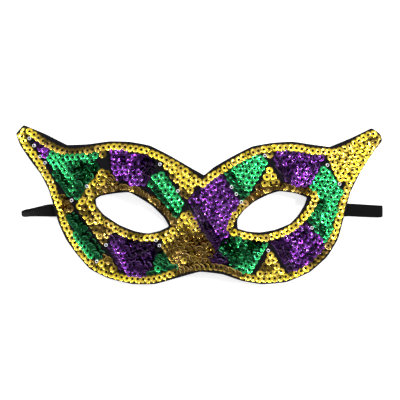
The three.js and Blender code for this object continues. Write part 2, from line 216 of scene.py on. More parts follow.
rowLines = {  # the middles of the sequin rows
    "edge": [
        (1.7, 13.1), (-4.2, 17.5), (-10, 22), (-16.6, 26.3), (-23.1, 29.6), (-30, 32.7), (-37.4, 35.3),
        (-44.7, 36.5), (-52.3, 37.4), (-59.9, 36.8), (-67.3, 35.6), (-74.9, 34.4), (-82.8, 33.9),
        (-90.8, 35.8), (-97.7, 39.4), (-104.3, 43.7), (-107.7, 46.2), (-111.3, 47.4), (-114, 44.8),
        (-112.9, 41.1), (-108.5, 34.9), (-103.9, 28.5), (-99.6, 21.7), (-95.7, 15.2), (-93, 7.9),
        (-90.4, 0.8), (-88.2, -6.5), (-86, -13.4), (-82, -20.8), (-77.8, -27.6), (-73.4, -33),
        (-68.3, -38.2), (-61.4, -42.2), (-54.3, -44.9), (-47.1, -46.8), (-39.6, -47.3), (-32.1, -47.4),
        (-24.3, -45.8), (-17.2, -43.4), (-8.6, -40.6), (0, -39.3), (9.9, -39.4), (16.4, -40.6),
        (22.9, -43.2), (28.6, -45.4), (35.8, -46.8), (43.3, -47.2), (50.7, -46.5), (58, -45), (65, -42),
        (73.2, -36.3), (80.7, -28.2), (84.6, -21.1), (87, -14.5), (89, -7.1), (90.6, -0.2), (92.7, 7.2),
        (95.2, 13.8), (98.8, 20.4), (103, 26.6), (107.3, 32.6), (111.2, 38.8), (113.4, 42.6),
        (111.4, 45.4), (108, 45), (104.5, 43), (97.9, 39), (91.3, 35.5), (84.4, 33.8), (76.9, 34.1),
        (69.4, 35), (62, 36.2), (54.5, 36.6), (47.2, 36.2), (40.1, 35.2), (33, 33.2), (26.3, 29.9),
        (19.7, 26.2), (13.8, 22.4), (7.5, 18.3), (4.4, 16),
    ],
    "left": [
        (-70.4, 2.1), (-66.9, -3.9), (-64.5, -7.6), (-61.8, -10.3), (-57.7, -12.8), (-51.3, -16.4),
        (-45.6, -19), (-40.8, -20.3), (-36.9, -20.9), (-32.9, -21.1), (-28, -20.4), (-22.1, -18.8),
        (-17.3, -16.4), (-16, -13), (-17.9, -8.3), (-21.6, -3.7), (-26.6, 1.2), (-31.9, 5), (-37.8, 8.6),
        (-43.7, 11), (-48.6, 11.8), (-55.9, 10.8), (-62, 9.6), (-67.6, 7),
    ],
    "right": [
        (18.8, -15.6), (19.4, -11.7), (21.3, -7.8), (25.8, -2), (31.3, 3.1), (37.9, 8.1), (45.8, 11.2),
        (50, 12), (55.8, 11.6), (60, 10.9), (68.3, 9), (72.2, 7.4), (73.7, 5), (72.7, 2), (71.2, -1.1),
        (69.1, -4.3), (66.6, -7.4), (61.4, -12.7), (58.2, -15.1), (51.4, -18.6), (44.5, -20.5),
        (40.9, -21), (37, -21), (30.1, -20.2), (26, -19), (22.3, -17.8),
    ],
}
rowPaths = {side: closedCurve(points) for side, points in rowLines.items()}
print("outlines:", len(outerLine), "points round the edge")


# shared shader effects

def newGroup(name, inputs, outputs):
    group = bpy.data.node_groups.new(name, "ShaderNodeTree")
    for direction, sockets in (("INPUT", inputs), ("OUTPUT", outputs)):
        for socketName, kind in sockets.items():
            group.interface.new_socket(socketName, in_out=direction, socket_type="NodeSocket" + kind)
    return group, group.nodes.new("NodeGroupInput"), group.nodes.new("NodeGroupOutput")


def feed(tree, socket, source):  # a link from another socket, or a plain value
    if isinstance(source, bpy.types.NodeSocket):
        tree.links.new(source, socket)
    else:
        socket.default_value = source


def addNode(tree, kind, links=(), **values):
    node = tree.nodes.new("ShaderNode" + kind)
    for name, value in values.items():
        setattr(node, name, value)
    for socket, source in links:
        feed(tree, node.inputs[socket], source)
    return node


def blendColour(tree, factor, low, high):
    return addNode(tree, "Mix", ((0, factor), (6, low), (7, high)), data_type="RGBA").outputs[2]


def mathOf(tree, how, a, b=0.5, c=0.0):
    return addNode(tree, "Math", ((0, a), (1, b), (2, c)), operation=how).outputs[0]


def onObject(tree):
    return addNode(tree, "TexCoord").outputs["Object"]


def noiseAt(tree, place, scale, detail, rough=0.5):
    links = (("Vector", place), ("Scale", scale), ("Detail", detail), ("Roughness", rough))
    return addNode(tree, "TexNoise", links).outputs[0]


weaving = {"crossing": 0.5, "shade": 0.6}  # height where threads cross, and light that they catch


def buildWeave():  # over and under threads, their fuzz, and how much light sinks between them
    inputs = {"Place": "Vector", "Threads": "Float", "Fuzz": "Float"}
    group, given, result = newGroup("clothWeave", inputs, {"Height": "Float", "Shade": "Float"})
    links = ((0, given.outputs["Place"]), ("Scale", given.outputs["Threads"]))
    place = addNode(group, "VectorMath", links, operation="SCALE").outputs[0]
    split = addNode(group, "SeparateXYZ", ((0, place),))
    waves = [mathOf(group, "SINE", mathOf(group, "MULTIPLY", split.outputs[k], math.pi)) for k in (0, 1)]
    over = mathOf(group, "MULTIPLY", waves[0], waves[1])
    threads = mathOf(group, "ABSOLUTE", over)
    fibres = noiseAt(group, place, scale=2.3, detail=3.0, rough=0.7)
    fuzz = mathOf(group, "MULTIPLY", fibres, given.outputs["Fuzz"])
    crossing = mathOf(group, "MULTIPLY", over, weaving["crossing"])
    height = mathOf(group, "ADD", mathOf(group, "ADD", threads, crossing), fuzz)
    group.links.new(height, result.inputs["Height"])
    lit = [mathOf(group, "MULTIPLY", part, weaving["shade"]) for part in (threads, fuzz)]
    group.links.new(mathOf(group, "ADD", lit[0], lit[1]), result.inputs["Shade"])
    return group


filmWear = {"cloud": 0.4, "marksDull": 0.1, "rimDull": 0.25, "marksHeight": 0.12}


def buildFilm():  # metallised film: tone that differs from sequin to sequin plus painted shade on those turned from the light, painted shade on the rim where the sequins overlap, fine handling marks
    inputs = {"Light": "Color", "Shaded": "Color", "Gloss": "Float"}
    outputs = {"Color": "Color", "Roughness": "Float", "Height": "Float"}
    group, given, result = newGroup("filmTone", inputs, outputs)
    toneAndShade = addNode(group, "Attribute", attribute_name="toneAndShade").outputs["Fac"]
    reach = addNode(group, "Attribute", attribute_name="reach").outputs["Fac"]
    place = onObject(group)
    cloud = noiseAt(group, place, scale=420.0, detail=2.0)
    wave = noiseAt(group, place, scale=900.0, detail=1.0)
    marks = noiseAt(group, place, scale=2600.0, detail=4.0, rough=0.65)
    uneven = mathOf(group, "MULTIPLY_ADD", cloud, filmWear["cloud"], -filmWear["cloud"] / 2)
    shift = mathOf(group, "ADD", toneAndShade, uneven)
    # painted shade: the body colour runs from the shaded colour to the lit one with each sequin's tone and
    # shade
    body = blendColour(group, shift, given.outputs["Shaded"], given.outputs["Light"])
    # painted shade on the outer rim, where the sequins overlap; the same rim is also made duller
    links = (("Value", reach), ("From Min", 0.80), ("From Max", 0.98), ("To Min", 0.0), ("To Max", 0.3))
    rim = addNode(group, "MapRange", links, clamp=True).outputs[0]
    group.links.new(blendColour(group, rim, body, given.outputs["Shaded"]), result.inputs["Color"])
    dull = mathOf(group, "MULTIPLY_ADD", marks, filmWear["marksDull"], given.outputs["Gloss"])
    dull = mathOf(group, "MULTIPLY_ADD", rim, filmWear["rimDull"], dull)
    group.links.new(dull, result.inputs["Roughness"])
    height = mathOf(group, "MULTIPLY_ADD", marks, filmWear["marksHeight"], wave)
    group.links.new(height, result.inputs["Height"])
    return group


weaveGroup = buildWeave()
filmGroup = buildFilm()


# materials

def newMaterial(name, settings):
    material = bpy.data.materials.new(name)
    material.use_nodes = True
    tree = material.node_tree
    surface = tree.nodes["Principled BSDF"]
    for socket, value in settings.items():
        surface.inputs[socket].default_value = value
    return material, tree, surface


def bumpInto(tree, surface, height, strength, distance):
    bump = addNode(tree, "Bump", (("Height", height), ("Strength", strength), ("Distance", distance)))
    tree.links.new(bump.outputs[0], surface.inputs["Normal"])


films = {  # lit colour towards the light, and a painted shade colour for sequins turned from it and for their rims
    "gold": {"light": (0.515, 0.38, 0.02, 1), "shaded": (0.29, 0.178, 0.045, 1),
             "gloss": 0.08, "wave": 0.00008, "coat": 0.2},
    "purple": {"light": (0.078, 0.0055, 0.157, 1), "shaded": (0.062, 0.0095, 0.112, 1),
               "gloss": 0.06, "wave": 0.00012, "coat": 0.45},
    "green": {"light": (0.006, 0.25, 0.055, 1), "shaded": (0.011, 0.18, 0.058, 1),
              "gloss": 0.07, "wave": 0.0001, "coat": 0.3},
}


def filmMaterial(name, look):
    settings = {"Metallic": 1.0, "Coat Weight": look["coat"], "Coat Roughness": 0.05}
    material, tree, surface = newMaterial(name, settings)
    links = (("Light", look["light"]), ("Shaded", look["shaded"]), ("Gloss", look["gloss"]))
    film = addNode(tree, "Group", links, node_tree=filmGroup)
    tree.links.new(film.outputs["Color"], surface.inputs["Base Color"])
    tree.links.new(film.outputs["Roughness"], surface.inputs["Roughness"])
    bumpInto(tree, surface, film.outputs["Height"], 1.0, look["wave"])
    return material


cloths = {
    "cloth": {"dark": (0.002, 0.0018, 0.0028, 1), "lit": (0.0062, 0.0056, 0.008, 1),
              "threads": 2200.0, "fuzz": 0.5, "bump": 0.45, "sheen": 0.05},
    "felt": {"dark": (0.006, 0.006, 0.007, 1), "lit": (0.021, 0.020, 0.023, 1),
             "threads": 900.0, "fuzz": 2.4, "bump": 0.6, "sheen": 0.25},
    "elastic": {"dark": (0.0016, 0.0016, 0.0018, 1), "lit": (0.0032, 0.0032, 0.0036, 1),
                "threads": 1.0, "fuzz": 0.35, "bump": 0.5, "sheen": 0.05},
}
threadDepth = 0.0002  # metres from the top of a thread to the gap beside it


def clothMaterial(name, look, attribute=None):
    settings = {
        "Roughness": 0.85, "Specular IOR Level": 0.08,
        "Sheen Weight": look["sheen"], "Sheen Roughness": 0.5,
    }
    material, tree, surface = newMaterial(name, settings)
    if attribute:
        place = addNode(tree, "Attribute", attribute_name=attribute).outputs["Vector"]
    else:
        place = onObject(tree)
    links = (("Place", place), ("Threads", look["threads"]), ("Fuzz", look["fuzz"]))
    weave = addNode(tree, "Group", links, node_tree=weaveGroup)
    colour = blendColour(tree, weave.outputs["Shade"], look["dark"], look["lit"])
    tree.links.new(colour, surface.inputs["Base Color"])
    bumpInto(tree, surface, weave.outputs["Height"], look["bump"], threadDepth)
    return material


def mottle(tree, surface, scale, low, high):  # a base colour that wanders between two
    wander = noiseAt(tree, onObject(tree), scale, detail=2.0)
    tree.links.new(blendColour(tree, wander, low, high), surface.inputs["Base Color"])
    return wander


def beadMaterial():  # silver-lined glass
    settings = {"Metallic": 0.1, "Coat Weight": 1.0, "Coat Roughness": 0.03}
    material, tree, surface = newMaterial("seedBead", settings)
    lining = mottle(tree, surface, 1500.0, (0.72, 0.7, 0.76, 1), (0.98, 0.97, 1.0, 1))
    uneven = addNode(tree, "MapRange", (("Value", lining), ("To Min", 0.08), ("To Max", 0.3)))
    tree.links.new(uneven.outputs[0], surface.inputs["Roughness"])
    return material


def threadMaterial(name, low, high):
    material, tree, surface = newMaterial(name, {"Roughness": 0.6, "Specular IOR Level": 0.3})
    mottle(tree, surface, 700.0, low, high)
    return material


filmMaterials = {film: filmMaterial(film + "Film", look) for film, look in films.items()}
clothFront = clothMaterial("blackCloth", cloths["cloth"])
feltBack = clothMaterial("blackFelt", cloths["felt"])
elasticWeave = clothMaterial("blackElastic", cloths["elastic"], "weaveAt")
beadGlass = beadMaterial()
threadCotton = threadMaterial("sewingThread", (0.01, 0.005, 0.014, 1), (0.065, 0.038, 0.075, 1))
threadBlack = threadMaterial("strapThread", (0.004, 0.004, 0.005, 1), (0.03, 0.03, 0.034, 1))
print("materials:", len(bpy.data.materials))


# making a piece out of points and faces

def makePiece(name, points, faces, materials, nodes, sharp=40.0, secondFrom=None):
    mesh = bpy.data.meshes.new(name)
    mesh.from_pydata([tuple(p) for p in np.asarray(points) * mm], [], [tuple(f) for f in faces])
    for material in materials:
        mesh.materials.append(material)
    mesh.validate()
    mesh.shade_smooth()
    mesh.set_sharp_from_angle(angle=math.radians(sharp))
    if secondFrom is not None:  # the faces of the second material come last
        for face in mesh.polygons[secondFrom:]:
            face.material_index = 1
    piece = bpy.data.objects.new(name, mesh)
    scene.collection.objects.link(piece)
    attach(piece, "root")
    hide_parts(*nodes)
    return piece


def giveValues(piece, name, values, kind="FLOAT"):
    layer = piece.data.attributes.new(name, kind, "POINT")
    field = "vector" if kind == "FLOAT_VECTOR" else "value"
    layer.data.foreach_set(field, np.asarray(values, np.float32).ravel())


def ringsOf(count, size):  # the numbers of the points in each ring
    return [range(k * size, (k + 1) * size) for k in range(count)]


def joinRings(rings, flip=False, closed=False):  # four-sided faces from each ring to the next
    faces = []
    for near, far in zip(rings, rings[1:] + rings[:1] if closed else rings[1:]):
        for k in range(len(near)):
            after = (k + 1) % len(near)
            if flip:
                faces.append((near[k], near[after], far[after], far[k]))
            else:
                faces.append((near[k], far[k], far[after], near[after]))
    return faces


def addOn(points, faces, part):  # joins the points and faces of another part on
    start = len(points)
    faces += [tuple(start + k for k in face) for face in part[1]]
    points += part[0]


def anglesOf(sides):
    return np.arange(sides) * math.tau / sides


def lathe(loop, sides, flip=False):  # turns a closed profile of radii and heights
    points = [(r * math.cos(a), r * math.sin(a), h) for r, h in loop for a in anglesOf(sides)]
    return np.array(points), joinRings(ringsOf(len(loop), sides), flip, closed=True)


def axesOn(normal):  # right, up and out on a surface
    right = unit(np.cross((0.0, 1.0, 0.0), normal))
    return np.array((right, np.cross(normal, right), normal))


# the cloth-covered shell: front and back faces with a rolled edge

shell = {
    "roll": 1.0, "rollSteps": 6,
    "grid": 2.4, "merge": 1e-5,
    "clear": 1.5,  # from the grid to the rolled edge
    "thin": 0.8,  # least wall where the back lies on the floor
    "pucker": 0.07, "puckerScale": 0.35, "puckerLayer": 3.0,
}


def shellPoint(x, y, share):  # share 0 at the back, 1 at the front
    place = Vector((x * shell["puckerScale"], y * shell["puckerScale"], shell["puckerLayer"]))
    ripple = shell["pucker"] * noise.noise(place) * share
    low = max(backHeight(x, y), 0.0)
    top = max(clothPoint(x, y, form["wall"])[2], low + shell["thin"])
    return (x, y, low + (top - low) * share + ripple)


def onCloth(spots, seams):
    held = inside(spots, seams[0])
    for seam in seams[1:]:
        held &= ~inside(spots, seam)
    return held


def buildShell():
    loops = [(outerLine, leftOf(outerLine))] + [(line, -leftOf(line)) for line in eyeLines.values()]
    seams = [line + inward * shell["roll"] for line, inward in loops]
    flat = [tuple(p) for seam in seams for p in seam]
    borders, first = [], 0
    for seam in seams:
        count = len(seam)
        borders += [(first + k, first + (k + 1) % count) for k in range(count)]
        first += count
    low, high = outerLine.min(0), outerLine.max(0)
    rowStep = shell["grid"] * math.sqrt(3) / 2
    lattice = np.array([
        (low[0] + (column + 0.5 * (row % 2)) * shell["grid"], low[1] + row * rowStep)
        for row in range(int((high[1] - low[1]) / rowStep) + 1)
        for column in range(int((high[0] - low[0]) / shell["grid"]) + 1)
    ])
    lattice = lattice[onCloth(lattice, seams)]
    clear = np.min([awayFrom(lattice, seam) for seam in seams], axis=0) > shell["clear"]
    flat += [tuple(spot) for spot in lattice[clear]]
    net = geometry.delaunay_2d_cdt([Vector(p) for p in flat], borders, [], 0, shell["merge"])
    triangles, origins = net[2], net[3]
    corners = np.array([[origins[corner][0] for corner in triangle] for triangle in triangles])
    middles = np.array(flat)[corners].mean(1)
    kept = [tuple(int(k) for k in triangle) for triangle in corners[onCloth(middles, seams)]]
    total = len(flat)
    points = [shellPoint(x, y, 1.0) for x, y in flat] + [shellPoint(x, y, 0.0) for x, y in flat]
    faces = kept + [(a + total, c + total, b + total) for a, b, c in kept]
    backCount = len(kept)
    first = 0
    for line, inward in loops:
        count = len(line)
        rings = [range(first, first + count)]
        for step in range(1, shell["rollSteps"]):
            angle = math.pi / 2 - math.pi * step / shell["rollSteps"]
            ring = line + inward * shell["roll"] * (1 - math.cos(angle))
            rings.append(range(len(points), len(points) + count))
            points += [shellPoint(x, y, 0.5 + 0.5 * math.sin(angle)) for x, y in ring]
        rings.append(range(first + total, first + total + count))
        faces += joinRings(rings)
        first += count
    materials = [clothFront, feltBack]
    piece = makePiece("shell_cloth", points, faces, materials, ["mask_shell"], sharp=60.0)
    body = bmesh.new()
    body.from_mesh(piece.data)
    bmesh.ops.recalc_face_normals(body, faces=body.faces)
    body.faces.ensure_lookup_table()
    for face in body.faces[backCount : 2 * backCount]:
        face.material_index = 1
    body.to_mesh(piece.data)
    body.free()


buildShell()
print("shell made")


# cup sequins

cup = {
    "sides": 18,
    "film": 0.09,
    "profile": ((0.88, 0.0), (1.4, 0.035), (1.9, 0.11), (2.25, 0.24), (2.5, 0.4)),  # radius, height
    "pitch": 3.5,  # along a row
    "closePitch": 2.1,  # where the sequins stand on edge
    "gap": 3.4,  # from row to row
    "follow": 0.35,  # share of the cloth's slope that a sequin takes
    "lap": 0.12,  # least tilt along the row, so that each lies over the last
    "rowLap": 0.18,  # least tilt across it, so that each row lies over the last
    "steepest": 0.8,
    "jitter": 0.08,
    "darkJitter": 0.1,  # more where they stand on edge
    "warp": 0.09,
    "pressed": 0.74,  # height of the cups that lie face up
    "leastRise": 0.16,
    "rimClear": 0.12,  # from the lowest of the rim to the cloth
    "toneAndShade": 0.6,
    "shadeTurn": 1.2,  # painted shade: sequins turned from the light get a deeper colour
    "toneSpread": 0.2,
    "sizeSpread": 0.025,
}
leans = {  # which way a sequin's face is turned
    "bright": (0.06, 0.14),
    "mid": (-0.06, -0.16),
    "brown": (-0.14, -0.4),
    "dark": (-0.2, -0.43),
}
turning = {
    "sideShare": 0.8, "sideFrom": 0.1,  # how much a lean to the left counts, and from where
    "edgeFrom": 0.16, "edgeSpan": 0.3,  # from where sequins stand on edge
}
cupRadius, cupRise = cup["profile"][-1]


def turnedAway(lean):  # negative for sequins that look away from the light
    return lean[1] + turning["sideShare"] * min(lean[0] + turning["sideFrom"], 0.0)


def onEdge(lean):  # 0 for sequins that face the light, 1 for those that stand on edge
    return min(max(-(turnedAway(lean) + turning["edgeFrom"]) / turning["edgeSpan"], 0.0), 1.0)


def pitchAt(stood):  # closer where the sequins stand on edge
    return cup["pitch"] + (cup["closePitch"] - cup["pitch"]) * stood


def cupTemplate():
    under = [(r, h - cup["film"]) for r, h in (cup["profile"][4], cup["profile"][2], cup["profile"][0])]
    loop = list(cup["profile"]) + under
    points, faces = lathe(loop, cup["sides"])
    reach = np.repeat([r / cupRadius for r, h in loop], cup["sides"])
    return points, np.array(faces), reach


cupPoints, cupFaces, cupReach = cupTemplate()


def leanOf(lean):  # a named lean, or one of its own
    return np.array(leans[lean] if isinstance(lean, str) else lean)


def turnedTo(spot, area):  # the lean at a spot: that of its area, drawn towards the zones near it
    total, weight = np.zeros(2), 0.0
    for x1, y1, x2, y2, reach, lean in area.get("zones", ()):
        ends = np.array(((x1, y1), (x2, y2)), float)
        share = bell(awayFrom(np.array([spot]), ends, closed=False)[0], reach)
        total += share * leanOf(lean)
        weight += share
    if weight > 1:
        return total / weight
    return total + leanOf(area["lean"]) * (1 - weight)


def sewnCup(spot, along, lean, dice, lift=0.0, jitter=None, inRows=True):
    x, y = spot
    slope = clothTilt(x, y)
    across = np.array((-along[1], along[0]))
    tilt = slope * (cup["follow"] - 1) + lean
    parts = [float(tilt @ along), float(tilt @ across)]
    laps = (cup["lap"], cup["rowLap"] if inRows else 0.0)
    parts = [math.copysign(max(abs(part), lap), part) for part, lap in zip(parts, laps)]
    tilt = along * parts[0] + across * parts[1]
    steep = norm(tilt)
    if steep > cup["steepest"]:
        tilt *= cup["steepest"] / steep
    stood = onEdge(lean)
    spread = (cup["jitter"] if jitter is None else jitter) + cup["darkJitter"] * stood
    tilt = tilt + np.array((dice.gauss(0, spread), dice.gauss(0, spread)))
    facing = unit(np.append(slope + tilt, 1.0))
    leaning = math.acos(min(1.0, float(facing @ clothNormal(x, y))))
    depth = cup["pressed"] + (1 - cup["pressed"]) * stood
    lowest = cupRadius * math.sin(leaning) - cupRise * depth * math.cos(leaning)
    rise = max(cup["leastRise"], lowest + cup["rimClear"])
    # tone that differs at random, plus painted shade for sequins turned from the light
    toneAndShade = dice.gauss(cup["toneAndShade"] + cup["shadeTurn"] * turnedAway(lean), cup["toneSpread"])
    return {
        "middle": clothPoint(x, y, form["wall"] + rise + lift),
        "facing": facing,
        "depth": depth,
        "toneAndShade": min(max(toneAndShade, 0.0), 1.0),
        "spin": dice.random() * math.tau,
        "size": dice.uniform(1 - cup["sizeSpread"], 1 + cup["sizeSpread"]),
        "warp": dice.gauss(0, cup["warp"]),
    }


thread = {"radius": 0.06, "sides": 6, "step": 2.0, "over": 1.5, "sag": 0.5, "tuck": 0.08}


def tube(middles, side, up, radius, sides):
    arms = [(side * math.cos(a) + up * math.sin(a)) * radius for a in anglesOf(sides)]
    rings = ringsOf(len(middles), sides)
    faces = joinRings(rings) + [rings[0], rings[-1][::-1]]
    return [middle + arm for middle in middles for arm in arms], faces


def threadTube(start, end, dice):
    count = max(2, round(norm(end - start) / thread["step"]))
    side = np.array((start[1] - end[1], end[0] - start[0])) / norm(end - start)
    sag = dice.uniform(-thread["sag"], thread["sag"])
    middles = []
    for t in np.linspace(0, 1, count + 1):
        x, y = start + (end - start) * t + side * sag * math.sin(math.pi * t)
        arch = math.sin(math.pi * (thread["tuck"] + (1 - 2 * thread["tuck"]) * t)) ** 0.5
        middles.append(clothPoint(x, y, form["wall"]) + clothNormal(x, y) * thread["over"] * arch)
    return tube(middles, np.append(side, 0.0), np.array((0.0, 0.0, 1.0)), thread["radius"], thread["sides"])


def sewPiece(name, node, film, cups, threads=()):
    points, faces, shadedTones = [], [], []
    for number, one in enumerate(cups):
        local = cupPoints * one["size"]
        c, s = math.cos(one["spin"]), math.sin(one["spin"])
        u, v = local[:, 0] * c - local[:, 1] * s, local[:, 0] * s + local[:, 1] * c
        h = local[:, 2] * one["depth"] + one["warp"] * (local[:, 0] ** 2 - local[:, 1] ** 2) / cupRadius ** 2
        points.append(one["middle"] + np.stack((u, v, h), axis=1) @ axesOn(one["facing"]))
        faces.append(cupFaces + number * len(cupPoints))
        shadedTones.append(np.full(len(cupPoints), one["toneAndShade"]))
    points, faces = list(np.vstack(points)), np.vstack(faces).tolist()
    sequinFaces = len(faces)
    for part in threads:
        addOn(points, faces, part)
    materials = [filmMaterials[film]] + ([threadCotton] if threads else [])
    piece = makePiece(name, points, faces, materials, [node], secondFrom=sequinFaces)
    # per-sequin tone with painted shade for those turned from the light
    giveValues(piece, "toneAndShade", np.resize(np.concatenate(shadedTones), len(points)))
    giveValues(piece, "reach", np.resize(np.tile(cupReach, len(cups)), len(points)))


# rows round the edge and the eye holes

rows = {
    "seed": {"edge": 3, "left": 5, "right": 5},
    "lift": 0.22,
    "standFrom": 0.24,  # lean from which the sequins are sewn closer
    "standSpan": 0.2,
    "lean": (0.05, 0.12),
    "jitter": {"edge": 0.07, "left": 0.12, "right": 0.08},
    "extra": {"edge": [(-110.7, 44.2)]},  # sewn inside the row
    "zones": [  # a line on the mask, how far it reaches, and the lean of the sequins near it
        (-113.4, 40, -110, 47.6, 3.4, (0.14, 0.16)),
        (-103, 43, -96, 38.4, 3, (0.02, -0.04)),
        (-92, 36.4, -71, 34.6, 3, (0.0, -0.3)),
        (-107, 33, -80, -24, 3, (0.25, 0.1)),
        (-64, 36.4, -42, 36, 3, (0.02, -0.04)),
        (-12, -41.4, 23, -43, 3.4, (-0.34, -0.32)),
        (-62, -42, -22, -45.4, 3, (0.07, 0.15)),
        (72, -38, 82, -25, 2.6, (-0.2, -0.16)),
        (113.4, 42.6, 111.6, 39.5, 2, (0.3, -0.16)),
        (-62, 9.6, -48, 12, 3.4, (-0.4, -0.3)),
        (-46, 11.4, -29, 3.2, 3.4, (-0.41, -0.3)),
        (-27, 1.6, -16.4, -12, 3.4, (-0.41, -0.3)),
        (-66, -5, -40, -20.5, 3, (0.08, -0.1)),
        (19, -15, 26, -2, 3, (-0.24, 0.0)),
        (31, 3, 45, 11, 3, (-0.32, -0.3)),
        (53, 12, 67, 9.4, 3, (-0.34, -0.16)),
        (26, -19, 66, -9, 2.6, (0.1, 0.17)),
    ],
}


def sewRow(name, node, side):
    path = rowPaths[side]
    dice = random.Random(rows["seed"][side])
    leanAt = np.array([turnedTo(spot, rows) for spot in path])
    stood = (norm(np.minimum(leanAt, 0), axis=1) - rows["standFrom"]) / rows["standSpan"]
    ends = np.vstack((path, path[:1]))
    run = runAlong(ends, 1 / pitchAt(np.clip(stood, 0, 1)))
    count = round(run[-1])
    spots = pointsAt(ends, run, np.arange(count) * run[-1] / count)
    along = headings(spots)
    cups = [
        sewnCup(spot, ahead, turnedTo(spot, rows), dice, rows["lift"], rows["jitter"][side], inRows=False)
        for spot, ahead in zip(spots, along)
    ]
    cups += [sewnCup(spot, along[0], rows["lean"], dice) for spot in rows["extra"].get(side, ())]
    sewPiece(name, node, "gold", cups)
    return len(cups)


sewn = sewRow("edge_row", "border_sequins", "edge")
for side in eyes:
    sewn += sewRow(side + "_eye_row", side + "_eye_sequins", side)
print("rows sewn:", sewn, "sequins")


# harlequin patches, each in the film that its name begins with

